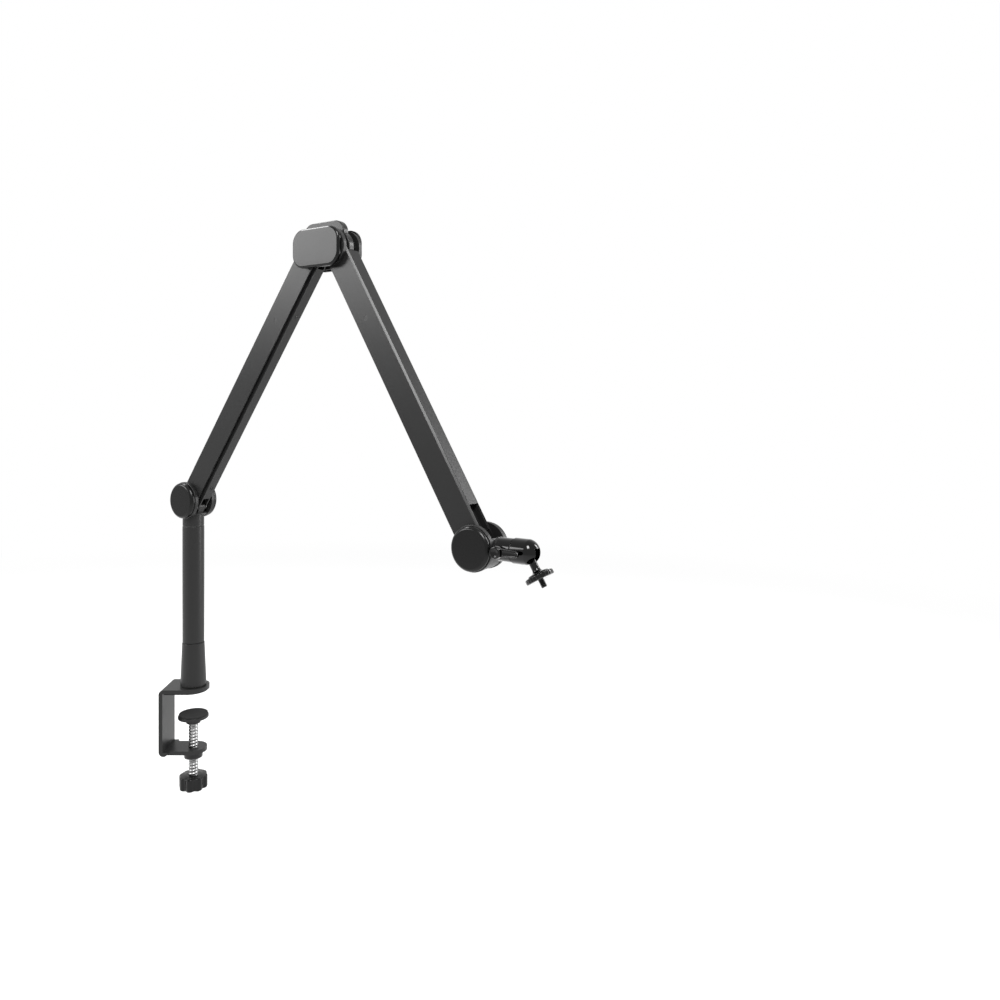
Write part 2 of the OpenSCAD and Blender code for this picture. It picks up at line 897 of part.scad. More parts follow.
// The spring's centre line runs from the lug's eye to the pin across the shell
module balance_spring(from, to) {
  run = to - from;
  coil_r = (spring_d - spring_wire) / 2;
  start = spring_lead + 2 * hook_r;
  path = spring_path(norm(run) - start - spring_lead - hook_r, coil_r);
  echo("least gap of the spring to itself, mm", self_gap(path, spring_wire));
  translate([from[0], 0, from[1]])
    rotate([0, -atan2(run[1], run[0]), 0])
      translate([start, 0, 0])
        wire(path, spring_wire, 6);
}
module spring_pin() {
  difference() {
    across(spring_pin_d, -cheek_y + 0.2, cheek_y - 0.2);
    rotate([90, 0, 0])
      rotate_extrude()
        translate([spring_pin_d / 2 + 0.1, 0])
          circle(0.9);
  }
}

// Where the lower arm's link and spring sit, in the arm's frame
function along(p, a) = [p[0] * cos(a) + p[1] * sin(a), -p[0] * sin(a) + p[1] * cos(a)];
lower_link_at = along(link_o, lower_angle);
upper_link_at = along(link_u, -upper_angle);
lower_eye_z = -lower_link_at[1] - 3;
upper_eye_z = -upper_link_at[1] - 3;

module lower_link_frame() {
  lower_frame(p_shoulder + link_o)
    children();
}
// The upper link is set end for end too: its lug and screw lie at the wrist end
module upper_link_frame() {
  upper_frame(p_elbow_u + link_u)
    translate([arm_l, 0, 0])
      mirror([1, 0, 0])
        children();
}
module lower_link_bar() {
  color(satin_black)
    lower_link_frame()
      link_bar(link_screw_x);
}
module lower_link_screws() {
  color(steel)
    lower_link_frame()
      link_screws();
}
module lower_spring_lug() {
  color(steel)
    lower_link_frame()
      spring_lug(lower_eye_z);
}
module lower_link_glide() {
  color(nylon)
    lower_link_frame()
      link_glide();
}
module lower_spring() {
  color(steel)
    lower_frame()
      balance_spring(lower_link_at + [eye_x, lower_eye_z], [arm_l - spring_pin_x, spring_z]);
}
module lower_spring_pin() {
  color(steel)
    lower_frame()
      translate([arm_l - spring_pin_x, 0, spring_z])
        spring_pin();
}
module upper_link_bar() {
  color(satin_black)
    upper_frame(p_elbow_u + link_u)
      link_bar([for (x = link_screw_x) arm_l - x]);
}
module upper_link_screws() {
  color(steel)
    upper_link_frame()
      link_screws();
}
module upper_spring_lug() {
  color(steel)
    upper_link_frame()
      spring_lug(upper_eye_z);
}
module upper_link_glide() {
  color(nylon)
    upper_link_frame()
      link_glide();
}
module upper_spring() {
  color(steel)
    upper_frame()
      flip_arm()
        balance_spring([eye_x - upper_link_at[0], upper_link_at[1] + upper_eye_z], [arm_l - spring_pin_x, spring_z]);
}
module upper_spring_pin() {
  color(steel)
    upper_frame()
      translate([spring_pin_x, 0, spring_z])
        spring_pin();
}

// ELBOW

p_elbow = (p_elbow_l + p_elbow_u) / 2;
half_s = elbow_s / 2;
module elbow_plate(side) {
  difference() {
    side_plate(side, ear_y, elbow_s + 2 * plate_r, 2 * plate_r, plate_r, ear_t, 0.7);
    for (x = [-half_s, half_s])
      across(pin_d + 2 * fit, -ear_out - 1, ear_out + 1, [x, 0]);
  }
}
module elbow_front_plate() {
  color(satin_black)
    arm_plane(p_elbow)
      elbow_plate(-1);
}
module elbow_rear_plate() {
  color(satin_black)
    arm_plane(p_elbow)
      elbow_plate(1);
}

// Core between the arms' cheeks: a hump that carries cables over the elbow, bosses on the
// pivots and two lugs for the link bars
hump_z = hump_h - hump_r;
core_cut = -3.4;
module core_disc(r, p) {
  translate([p[0], 0, p[1]])
    for (s = [-1, 1])
      side_plate(s, 0, 2 * r, 2 * r, r, core_t / 2, 1.2);
}
module core_bar(x0, x1, z0, z1) {
  // A straight length between two rounded ends, its upper edges rounded
  translate([(x0 + x1) / 2, 0, 0])
    rotate([90, 0, 90])
      translate([0, 0, -(x1 - x0) / 2])
        linear_extrude(x1 - x0)
          difference() {
            translate([-core_t / 2, z0])
              square([core_t, z1 - z0]);
            for (s = [-1, 1])
              translate([s * core_t / 2, z1])
                difference() {
                  square(2.4, center = true);
                  translate([-s * 1.2, -1.2])
                    circle(1.2);
                }
          }
}
module elbow_core() {
  lug_a = link_o - [half_s, 0];
  lug_b = link_u + [half_s, 0];
  color(satin_black)
    arm_plane(p_elbow)
      difference() {
        union() {
          difference() {
            union() {
              for (x = [-half_s, half_s])
                core_disc(core_r, [x, 0]);
              core_disc(hump_r, [-hump_back, hump_z]);
              core_disc(hump_r, [hump_front, hump_z]);
              core_bar(-hump_back, hump_front, core_cut, hump_h);
            }
            translate([-2 * elbow_s, -core_t, -2 * core_r])
              cube([4 * elbow_s, 2 * core_t, 2 * core_r + core_cut]);
          }
          for (x = [-half_s, half_s])
            across(2 * boss_r, -core_t / 2, core_t / 2, [x, 0]);
          for (p = [lug_a, lug_b]) {
            across(2 * lug_r, -link_lug_t / 2, link_lug_t / 2, p);
            slab(-link_lug_t / 2, link_lug_t / 2)
              translate([p[0] - lug_r, p[1]])
                square([2 * lug_r, core_cut - p[1] + 2]);
          }
        }
        for (x = [-half_s, half_s])
          across(pin_d + 2 * fit, -core_t, core_t, [x, 0]);
        for (p = [lug_a, lug_b])
          across(link_pin_d + 2 * fit, -core_t, core_t, p);
        // Groove that the cable lies in
        rotate([90, 0, 90])
          translate([0, 0, -hump_back])
            linear_extrude(hump_back + hump_front)
              translate([0, hump_h + 0.6])
                circle(2.6);
      }
}
module elbow_pins() {
  color(steel)
    for (p = [p_elbow_l, p_elbow_u])
      arm_plane(p)
        main_pin();
}
module elbow_link_pins() {
  color(steel)
    for (p = [p_elbow_l + link_o, p_elbow_u + link_u])
      arm_plane(p)
        link_pin();
}
module elbow_cover(side) {
  difference() {
    side_plate(side, ear_out, elbow_cap_l, elbow_cap_h, elbow_cap_r, cap_t, cap_round);
    for (x = [-half_s, half_s])
      across(pin_head_d + 3, side < 0 ? -ear_out - 3.4 : ear_out - 1, side < 0 ? -ear_out + 1 : ear_out + 3.4, [x, 0]);
  }
}
module elbow_front_cover() {
  color(black)
    arm_plane(p_elbow)
      elbow_cover(-1);
}
module elbow_rear_cover() {
  color(black)
    arm_plane(p_elbow)
      elbow_cover(1);
}

// WRIST

// Drum open at the top, with a lug for the upper link and a bored face for the ball head
wrist_from = -117;
wrist_to = 28;
head_r = head_d / 2;
head_start = 19;
module wrist_housing() {
  color(satin_black)
    arm_plane(p_wrist)
      difference() {
        union() {
          ears(ear_r);
          drum_wall(wrist_from, -50);
          drum_wall(-51, wrist_to);
          link_lug(link_u, -100);
          difference() {
            rotate([0, 90, 0])
              cylinder(r = head_r - 1.2, h = ear_r + 1.5);
            across(2 * drum_r, -ear_y - eps, ear_y + eps);
            translate([-1, -ear_y, -head_d])
              cube([drum_r * 0.8, 2 * ear_y, 2 * head_d]);
            for (s = [-1, 1])
              translate([-1, s > 0 ? ear_y : -ear_y - head_d, -head_d])
                cube([drum_r * 0.8, head_d, 2 * head_d]);
          }
        }
        pin_holes(link_u);
        rotate([0, 90, 0])
          cylinder(d = head_bolt_d + 2 * fit, h = 2 * ear_r);
      }
}
module wrist_pin() {
  color(steel)
    arm_plane(p_wrist)
      main_pin();
}
module wrist_link_pin() {
  color(steel)
    arm_plane(p_wrist + link_u)
      link_pin();
}
module wrist_front_cover() {
  color(black)
    arm_plane(p_wrist)
      round_cover(-1);
}
module wrist_rear_cover() {
  color(black)
    arm_plane(p_wrist)
      round_cover(1);
}

// BALL HEAD

head_face = ear_r + 1.5;
cap_seam = ball_x - 14;
head_bolt_d = 6;
knob_x = 31;
knob_d = 12.4;
knob_boss_y = 13;
stem_d = 5;
cap_r = head_r + 0.9;
ball_r = ball_d / 2;
slot_w = neck_d + 1;

// Frame of the ball head: origin at the wrist's pivot
module head_frame() {
  arm_plane(p_wrist)
    children();
}
module ball_head_body() {
  color(gloss_black)
    head_frame()
      difference() {
        union() {
          rotate([0, 90, 0])
            translate([0, 0, head_face])
              rotate_extrude()
                difference() {
                  square([head_r, cap_seam - head_face - 0.2]);
                  translate([head_r, cap_seam - head_face - 0.2])
                    rotate(45)
                      square(1.2, center = true);
                }
          across(knob_d - 2, -knob_boss_y, 0, [knob_x, 0]);
        }
        rotate([0, 90, 0]) {
          cylinder(d = head_bolt_d + 2 * fit, h = head_face + 9);
          translate([0, 0, cap_seam - 9])
            cylinder(d = seat_d + 2 * fit, h = 20);
        }
        across(stem_d + 2 * fit, -knob_boss_y - 1, -2, [knob_x, 0]);
      }
}
module ball_head_bolt() {
  color(steel)
    head_frame()
      rotate([0, 90, 0]) {
        translate([0, 0, drum_r - 3.8])
          cylinder(d = 9, h = 3);
        translate([0, 0, drum_r - 1])
          cylinder(d = head_bolt_d, h = head_face + 8.5 - drum_r);
      }
}
// Nylon seat that the lock stem's wedge presses against the ball
seat_d = 13;
module ball_seat() {
  color(nylon)
    head_frame()
      difference() {
        rotate([0, 90, 0])
          translate([0, 0, cap_seam - 5.5])
            cylinder(d = seat_d, h = 13);
        translate([ball_x, 0, 0])
          sphere(d = ball_d + 2 * gap);
      }
}
// Cap with a socket for the ball and a slot from straight down to straight out
module ball_head_cap() {
  dome = cap_r - 2;
  color(gloss_black)
    head_frame()
      difference() {
        rotate([0, 90, 0])
          rotate_extrude() {
            difference() {
              translate([0, cap_seam])
                square([cap_r, ball_x + 2 - cap_seam]);
              translate([cap_r, cap_seam])
                rotate(45)
                  square(1.2, center = true);
            }
            translate([0, ball_x + 2])
              intersection() {
                translate([0, -0.01])
                  square([cap_r, cap_r]);
                scale_circle(cap_r, dome);
              }
          }
        translate([ball_x, 0, 0])
          sphere(d = ball_d + 2 * gap);
        rotate([0, 90, 0])
          translate([0, 0, cap_seam - 1])
            cylinder(d = seat_d + 2 * gap, h = ball_x - cap_seam + 1);
        // Slot for the neck
        across(slot_w, -slot_w, slot_w, [ball_x, 0]);
        slot_sweep();
      }
}
module scale_circle(r, h) {
  // A round nose h high on a cylinder of radius r, as one arc
  big = (r * r + h * h) / (2 * h);
  translate([0, h - big])
    circle(big);
}
module slot_sweep() {
  // The neck's path: a quarter turn of its own section
  translate([ball_x, 0, 0])
    rotate([90, 0, 0])
      linear_extrude(slot_w, center = true) {
        intersection() {
          circle(2 * cap_r);
          translate([0, -2 * cap_r])
            square(2 * cap_r);
        }
        translate([-slot_w / 2, -2 * cap_r])
          square([slot_w, 2 * cap_r]);
        translate([0, -slot_w / 2])
          square([2 * cap_r, slot_w]);
      }
}
// Side knob with a wing, on a stem that goes into the body
module ball_lock_knob() {
  wing_l = 24;
  color(gloss_black)
    head_frame()
      translate([knob_x, -knob_boss_y - gap, 0])
        rotate([90, 0, 0])
          difference() {
            union() {
              rotate_extrude()
                edge_profile(knob_d / 2, 9, 1.5);
              translate([0, 0, 2])
                linear_extrude(5)
                  polygon([[0, -4.6], [wing_l - 3, -3.2], [wing_l - 3, 3.2], [0, 4.6]]);
              translate([wing_l - 3, 0, 2])
                cylinder(r = 3.2, h = 5);
            }
            translate([0, 0, -1])
              cylinder(d = stem_d + 2 * fit, h = 7);
          }
}
module ball_lock_stem() {
  color(steel)
    head_frame()
      across(stem_d, -knob_boss_y - gap - 5.8, -head_bolt_d / 2 - gap, [knob_x, 0]);
}

// Ball, neck, flange and thread, turned from one bar; it points stud_angle below the horizontal.
// The thread starts just past the lock ring, above a plain relief at its root diameter.
flange_t = 2.4;
flange_d = 21;
ring_lift = 0.2;      // between the flange and the lock ring
relief_past = 0.2;    // the relief shows this much past the ring
relief_d = thread_d - 0.9;
thread_from = neck_l + flange_t + ring_lift + ring_t + relief_past;
thread_to = neck_l + flange_t + ring_t + thread_l;
module stud_frame() {
  arm_plane(p_ball)
    rotate([0, stud_angle, 0])
      rotate([0, 90, 0])
        children();
}
module ball_stud() {
  color(chrome)
    stud_frame() {
      sphere(d = ball_d);
      cylinder(d = neck_d, h = neck_l + eps);
      translate([0, 0, neck_l])
        rotate_extrude() {
          square([neck_d / 2 + 2, flange_t]);
          translate([0, 0.8])
            square([flange_d / 2, flange_t - 0.8]);
        }
      cylinder(d = relief_d, h = thread_from + eps);
      translate([0, 0, thread_from])
        cylinder(d = thread_d, h = thread_to - thread_from);
    }
}
module lock_ring() {
  notches = 24;
  color(chrome)
    stud_frame()
      translate([0, 0, neck_l + flange_t + ring_lift])
        difference() {
          rotate_extrude()
            difference() {
              square([ring_d / 2, ring_t]);
              square([thread_d / 2 + fit, ring_t]);
              for (z = [0, ring_t])
                translate([ring_d / 2, z])
                  rotate(45)
                    square(1.2, center = true);
            }
          for (i = [0:notches - 1])
            rotate(360 * i / notches)
              translate([ring_d / 2 + 0.5, 0, -1])
                cylinder(r = 1, h = ring_t + 2, $fn = 16);
        }
}

clamp_frame();
clamp_top_pad();
clamp_screw();
clamp_knob();
pressure_plate();
pressure_pad();
riser_socket();
socket_screws();
socket_set_screw();
riser_tube();
riser_plug();
swivel_bush();
swivel_retainer();
base_head();
shoulder_pin();
shoulder_link_pin();
base_front_cover();
base_rear_cover();
lower_arm_shell();
lower_arm_bushes();
lower_channel_cover();
lower_link_bar();
lower_link_screws();
lower_spring_lug();
lower_link_glide();
lower_spring();
lower_spring_pin();
elbow_front_plate();
elbow_rear_plate();
elbow_core();
elbow_pins();
elbow_link_pins();
elbow_front_cover();
elbow_rear_cover();
upper_arm_shell();
upper_arm_bushes();
upper_channel_cover();
upper_link_bar();
upper_link_screws();
upper_spring_lug();
upper_link_glide();
upper_spring();
upper_spring_pin();
wrist_housing();
wrist_pin();
wrist_link_pin();
wrist_front_cover();
wrist_rear_cover();
ball_head_body();
ball_head_bolt();
ball_seat();
ball_head_cap();
ball_lock_knob();
ball_lock_stem();
ball_stud();
lock_ring();
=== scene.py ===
import json
import math

import bmesh
import bpy
from mathutils import Matrix, Vector


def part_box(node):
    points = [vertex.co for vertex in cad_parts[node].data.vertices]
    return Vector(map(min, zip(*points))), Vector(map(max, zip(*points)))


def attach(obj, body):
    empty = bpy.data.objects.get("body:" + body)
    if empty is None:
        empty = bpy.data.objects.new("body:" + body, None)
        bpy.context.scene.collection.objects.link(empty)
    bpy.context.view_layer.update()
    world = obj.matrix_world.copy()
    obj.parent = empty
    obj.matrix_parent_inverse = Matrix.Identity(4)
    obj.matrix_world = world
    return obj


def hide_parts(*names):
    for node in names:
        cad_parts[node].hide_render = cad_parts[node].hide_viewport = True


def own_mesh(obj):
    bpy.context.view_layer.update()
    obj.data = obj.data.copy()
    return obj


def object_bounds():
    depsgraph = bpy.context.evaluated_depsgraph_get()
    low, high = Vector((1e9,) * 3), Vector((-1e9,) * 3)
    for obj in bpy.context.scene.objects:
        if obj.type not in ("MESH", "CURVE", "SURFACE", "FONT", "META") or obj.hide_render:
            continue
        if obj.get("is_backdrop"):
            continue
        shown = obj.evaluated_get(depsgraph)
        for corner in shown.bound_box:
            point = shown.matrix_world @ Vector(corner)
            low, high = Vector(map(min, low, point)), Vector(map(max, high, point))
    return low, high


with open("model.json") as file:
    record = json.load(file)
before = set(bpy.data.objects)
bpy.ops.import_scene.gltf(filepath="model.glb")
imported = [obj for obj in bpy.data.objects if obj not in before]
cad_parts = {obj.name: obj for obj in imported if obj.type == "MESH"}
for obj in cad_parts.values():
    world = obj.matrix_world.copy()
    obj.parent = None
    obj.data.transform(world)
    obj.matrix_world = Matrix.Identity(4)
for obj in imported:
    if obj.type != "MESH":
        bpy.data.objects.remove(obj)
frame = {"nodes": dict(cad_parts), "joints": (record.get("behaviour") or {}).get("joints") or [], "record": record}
cad_low, cad_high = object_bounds()

# Camera: level and square to the clamp, 1.1 m in front of the riser and 375 mm above the plane
# that the clamp rests on. The picture is shifted instead of the camera being tilted, so that
# uprights stay upright.
scene = bpy.context.scene
scene.view_settings.view_transform = "Standard"
view = bpy.data.cameras.new("photo_view")
view.sensor_width = 36.0
view.lens = 30.204
view.shift_x = 0.024
view.shift_y = -0.1
view.clip_start = 0.01
view.clip_end = 50
camera = bpy.data.objects.new("photo_view", view)
camera.location = (0.3655, -1.0852, 0.3746)
camera.rotation_euler = (math.radians(90), 0, 0)
scene.collection.objects.link(camera)
scene.camera = camera

# Studio: a pale floor under the clamp, low enough for its knob when the jaws are fully open.
# It keeps the object's shadow near it and fades into plain white further out. The world lights
# the object dimly, and shows white to the camera and in reflections.
floor_r, floor_sides = 6.0, 96
shadow_r, white_r = 0.5, 2.2
knob_travel, floor_gap = 0.03, 0.0005
floor_z = cad_low[2] - knob_travel - floor_gap
room_light, seen_white = 0.4, 1.0
floor_mesh = bpy.data.meshes.new("studio_floor")
floor_mesh.from_pydata(
    [(floor_r * math.cos(a), floor_r * math.sin(a), floor_z)
     for a in [math.tau * i / floor_sides for i in range(floor_sides)]],
    [], [list(range(floor_sides))])
floor = bpy.data.objects.new("studio_floor", floor_mesh)
scene.collection.objects.link(floor)
paint = bpy.data.materials.new("studio_floor")
paint.use_nodes = True
nt = paint.node_tree
shade = nt.nodes["Principled BSDF"]
shade.inputs["Base Color"].default_value = (0.86, 0.86, 0.86, 1)
shade.inputs["Roughness"].default_value = 0.7
shade.inputs["Specular IOR Level"].default_value = 0.2
glow = nt.nodes.new("ShaderNodeEmission")
glow.inputs["Color"].default_value = (1, 1, 1, 1)
place = nt.nodes.new("ShaderNodeTexCoord")
away = nt.nodes.new("ShaderNodeVectorMath")
away.operation = "LENGTH"
nt.links.new(place.outputs["Object"], away.inputs[0])
fade = nt.nodes.new("ShaderNodeMapRange")
fade.interpolation_type = "SMOOTHSTEP"
fade.inputs["From Min"].default_value = shadow_r
fade.inputs["From Max"].default_value = white_r
nt.links.new(away.outputs["Value"], fade.inputs["Value"])
mix = nt.nodes.new("ShaderNodeMixShader")
nt.links.new(fade.outputs["Result"], mix.inputs["Fac"])
nt.links.new(shade.outputs["BSDF"], mix.inputs[1])
nt.links.new(glow.outputs["Emission"], mix.inputs[2])
nt.links.new(mix.outputs["Shader"], nt.nodes["Material Output"].inputs["Surface"])
floor_mesh.materials.append(paint)
floor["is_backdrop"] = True


def maths(tree, operation, *values, clamped=False):
    """A Math node in a tree. Each value is a number, or the output that feeds it."""
    node = tree.nodes.new("ShaderNodeMath")
    node.operation = operation
    node.use_clamp = clamped
    for socket, value in zip(node.inputs, values):
        if isinstance(value, bpy.types.NodeSocket):
            tree.links.new(value, socket)
        else:
            socket.default_value = value
    return node.outputs[0]


sky = bpy.data.worlds.new("studio")
sky.use_nodes = True
nt = sky.node_tree
dim = nt.nodes["Background"]
dim.inputs["Color"].default_value = (1, 1, 1, 1)
dim.inputs["Strength"].default_value = room_light
white = nt.nodes.new("ShaderNodeBackground")
white.inputs["Color"].default_value = (1, 1, 1, 1)
white.inputs["Strength"].default_value = seen_white
rays = nt.nodes.new("ShaderNodeLightPath")
seen = maths(nt, "MAXIMUM", rays.outputs["Is Camera Ray"], rays.outputs["Is Glossy Ray"])
clear = maths(nt, "MAXIMUM", seen, rays.outputs["Is Transmission Ray"])
mix = nt.nodes.new("ShaderNodeMixShader")
nt.links.new(clear, mix.inputs["Fac"])
nt.links.new(dim.outputs["Background"], mix.inputs[1])
nt.links.new(white.outputs["Background"], mix.inputs[2])
nt.links.new(mix.outputs["Shader"], nt.nodes["World Output"].inputs["Surface"])
scene.world = sky

# Lamps: a big softbox high on the left, whose reflection fades down the arms' flat sides, and
# smaller ones whose reflections draw the bright lines along rounded edges and chrome.
arm_middle = Vector((0.2, -0.14, 0.4))


def lamp(name, place, size, power):
    """An area lamp that faces the middle of the arm."""
    light = bpy.data.lights.new(name, "AREA")
    light.shape = "RECTANGLE"
    light.size, light.size_y = size
    light.energy = power
    ob = bpy.data.objects.new(name, light)
    ob.location = place
    ob.rotation_euler = (arm_middle - Vector(place)).to_track_quat("-Z", "Y").to_euler()
    scene.collection.objects.link(ob)


lamp("left_softbox", (-2.0, -0.6, 1.25), (1.4, 1.0), 50)
lamp("high_left_softbox", (-1.1, 0.55, 2.1), (1.2, 0.4), 26)
lamp("front_top_softbox", (0.55, -1.7, 2.1), (0.7, 1.0), 72)
lamp("right_softbox", (1.85, 0.3, 1.15), (0.35, 0.5), 13)
lamp("right_fill", (1.7, 0.2, 0.35), (0.5, 0.8), 14)

# Clamp: a bent steel strip with a round nose, powder coated black, with a rubber sheet glued
# under it. The plate that presses from below has the same coat and its own rubber face.
body_of = {n: b for b, ns in frame["record"]["behaviour"]["bodies"].items() for n in ns}


def sockets(tree, in_out, rows):
    """The named inputs or outputs of a node group, from rows of name, kind and value."""
    for name, kind, value in rows:
        socket = tree.interface.new_socket(name, in_out=in_out, socket_type="NodeSocket" + kind)
        if value is not None:
            socket.default_value = value


def grain_wear_and_edge_highlight():
    """Grain, patches of gloss and lighter edges, shared by every finish on the arm. The lighter edges are partly
    rubbed wear and partly a painted highlight.
    """
    g = bpy.data.node_groups.new("grain_wear_and_edge_highlight", "ShaderNodeTree")
    sockets(g, "INPUT", (
        ("Colour", "Color", (0.02, 0.02, 0.02, 1)),
        ("Edge wear and highlight colour", "Color", (0.1, 0.1, 0.1, 1)),
        ("Edge wear and highlight", "Float", 0.3),
        ("Roughness", "Float", 0.4),
        ("Patches", "Float", 0.06),
        ("Grain scale", "Float", 2500.0),
        ("Grain depth", "Float", 0.1),
        ("Edge reach", "Float", 0.0009),
    ))
    sockets(g, "OUTPUT", (
        ("Colour", "Color", None),
        ("Roughness", "Float", None),
        ("Normal", "Vector", None),
    ))
    new, link = g.nodes.new, g.links.new
    given = new("NodeGroupInput")
    out = new("NodeGroupOutput")
    where = new("ShaderNodeTexCoord")
    grain = new("ShaderNodeTexNoise")
    grain.inputs["Detail"].default_value = 2
    link(where.outputs["Object"], grain.inputs["Vector"])
    link(given.outputs["Grain scale"], grain.inputs["Scale"])
    patch = new("ShaderNodeTexNoise")
    patch.inputs["Scale"].default_value = 28
    patch.inputs["Detail"].default_value = 4
    patch.inputs["Roughness"].default_value = 0.6
    link(where.outputs["Object"], patch.inputs["Vector"])
    # gloss: the given roughness, with broad patches and a trace of the grain
    grain_in_gloss = 0.04
    centred = maths(g, "SUBTRACT", patch.outputs["Fac"], 0.5)
    broad = maths(g, "MULTIPLY_ADD", centred, given.outputs["Patches"], given.outputs["Roughness"])
    gloss = maths(g, "MULTIPLY_ADD", grain.outputs["Fac"], grain_in_gloss, broad)
    link(gloss, out.inputs["Roughness"])
    # the grain in relief
    bump = new("ShaderNodeBump")
    bump.inputs["Distance"].default_value = 0.0001
    link(given.outputs["Grain depth"], bump.inputs["Strength"])
    link(grain.outputs["Fac"], bump.inputs["Height"])
    link(bump.outputs["Normal"], out.inputs["Normal"])
    # lighter edges, partly rubbed wear and partly a painted highlight: where the solid is thin behind its surface,
    # as along every corner
    thin = new("ShaderNodeAmbientOcclusion")
    thin.inside = True
    thin.only_local = True
    thin.samples = 6
    link(given.outputs["Edge reach"], thin.inputs["Distance"])
    edge = new("ShaderNodeMapRange")
    edge.inputs["From Min"].default_value = 0.86
    edge.inputs["From Max"].default_value = 0.45
    link(thin.outputs["AO"], edge.inputs["Value"])
    patchy = new("ShaderNodeMapRange")
    patchy.inputs["From Min"].default_value = 0.42
    patchy.inputs["From Max"].default_value = 0.62
    link(patch.outputs["Fac"], patchy.inputs["Value"])
    wear_and_highlight_mask = maths(g, "MULTIPLY", edge.outputs["Result"], patchy.outputs["Result"])
    amount = maths(g, "MULTIPLY", wear_and_highlight_mask, given.outputs["Edge wear and highlight"], clamped=True)
    blend = new("ShaderNodeMix")
    blend.data_type = "RGBA"
    link(amount, blend.inputs["Factor"])
    link(given.outputs["Colour"], blend.inputs["A"])
    link(given.outputs["Edge wear and highlight colour"], blend.inputs["B"])
    link(blend.outputs["Result"], out.inputs["Colour"])
    return g


grain_wear_highlight_group = grain_wear_and_edge_highlight()


def finish(name, colour, edge_wear_highlight_colour, rough, grain_scale, grain_depth, edge_wear_highlight_amount=0.3, patches=0.06,
           metal=0.0, specular=0.2, coat=0.0, edge_mm=0.9):
    """One finish: the shared grain on a Principled surface. Its two colours are linear greys, and edge_mm is how
    far in from a corner its lighter edge reaches, partly rubbed wear and partly a painted highlight."""
    m = bpy.data.materials.new(name)
    m.use_nodes = True
    nt = m.node_tree
    bsdf = nt.nodes["Principled BSDF"]
    g = nt.nodes.new("ShaderNodeGroup")
    g.node_tree = grain_wear_highlight_group
    g.inputs["Colour"].default_value = (colour, colour, colour, 1)
    g.inputs["Edge wear and highlight colour"].default_value = (edge_wear_highlight_colour, edge_wear_highlight_colour, edge_wear_highlight_colour, 1)
    g.inputs["Edge wear and highlight"].default_value = edge_wear_highlight_amount
    g.inputs["Roughness"].default_value = rough
    g.inputs["Patches"].default_value = patches
    g.inputs["Grain scale"].default_value = grain_scale
    g.inputs["Grain depth"].default_value = grain_depth
    g.inputs["Edge reach"].default_value = edge_mm / 1000
    bsdf.inputs["Metallic"].default_value = metal
    bsdf.inputs["Specular IOR Level"].default_value = specular
    bsdf.inputs["Coat Weight"].default_value = coat
    bsdf.inputs["Coat Roughness"].default_value = 0.08
    feeds = {"Colour": "Base Color", "Roughness": "Roughness", "Normal": "Normal"}
    for source, target in feeds.items():
        nt.links.new(g.outputs[source], bsdf.inputs[target])
    return m


powder_coat = finish("powder_coat", colour=0.011, edge_wear_highlight_colour=0.05, rough=0.36,
                     grain_scale=1800.0, grain_depth=0.2)
soft_rubber = finish("soft_rubber", colour=0.012, edge_wear_highlight_colour=0.02, rough=0.75,
                     grain_scale=900.0, grain_depth=0.5, edge_wear_highlight_amount=0.1)


def settle(ob, material, node):
    """The last steps for a finished piece: its finish, its body and the node it stands for."""
    ob.data.materials.clear()
    ob.data.materials.append(material)
    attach(ob, body_of[node])
    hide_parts(node)
    return ob


def dressed(node, material, radius):
    """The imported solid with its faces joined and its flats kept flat. Every sharp edge is broken
    by a radius in mm."""
    ob = bpy.data.objects.new(node + "_piece", frame["nodes"][node].data.copy())
    scene.collection.objects.link(ob)
    bm = bmesh.new()
    bm.from_mesh(ob.data)
    bmesh.ops.remove_doubles(bm, verts=bm.verts, dist=2e-6)
    bmesh.ops.dissolve_limit(bm, angle_limit=math.radians(0.6), verts=bm.verts, edges=bm.edges)
    for f in bm.faces:
        f.smooth = True
    bm.to_mesh(ob.data)
    bm.free()
    if ob.data.has_custom_normals:
        ob.data.normals_split_custom_set([(0, 0, 0)] * len(ob.data.loops))
    bevel = ob.modifiers.new("broken_edge", "BEVEL")
    bevel.width = radius / 1000
    bevel.segments = 3
    bevel.limit_method = "ANGLE"
    bevel.angle_limit = math.radians(35)
    bevel.miter_outer = "MITER_ARC"
    flat = ob.modifiers.new("flat_faces", "WEIGHTED_NORMAL")
    flat.mode = "FACE_AREA"
    flat.weight = 80
    return settle(ob, material, node)


dressed("clamp_frame", powder_coat, 0.6)
dressed("clamp_top_pad", soft_rubber, 0.3)
dressed("pressure_plate", powder_coat, 0.3)
dressed("pressure_pad", soft_rubber, 0.4)

# Clamp screw: 12 mm steel, zinc plated, with a coarse 4 mm thread rolled along its whole length.
# It runs in the clamp's threaded boss.
zinc = finish("zinc_plate", colour=0.24, edge_wear_highlight_colour=0.34, rough=0.36,
              grain_scale=1500.0, grain_depth=0.2, patches=0.2, metal=1.0, specular=0.5)


def skin(bm, rings, at=Matrix.Identity(4), hollow=False):
    """Quads between rings of points in millimetres. A hollow skin runs on from its last ring to
    its first, and any other has a face over both."""
    rows = [[bm.verts.new(at @ (Vector(p) / 1000)) for p in ring] for ring in rings]
    following = rows[1:] + (rows[:1] if hollow else [])
    n = len(rows[0])
    for low_row, high_row in zip(rows, following):
        for i in range(n):
            j = (i + 1) % n
            bm.faces.new((low_row[i], low_row[j], high_row[j], high_row[i]))
    if not hollow:
        bm.faces.new(rows[0][::-1])
        bm.faces.new(rows[-1])


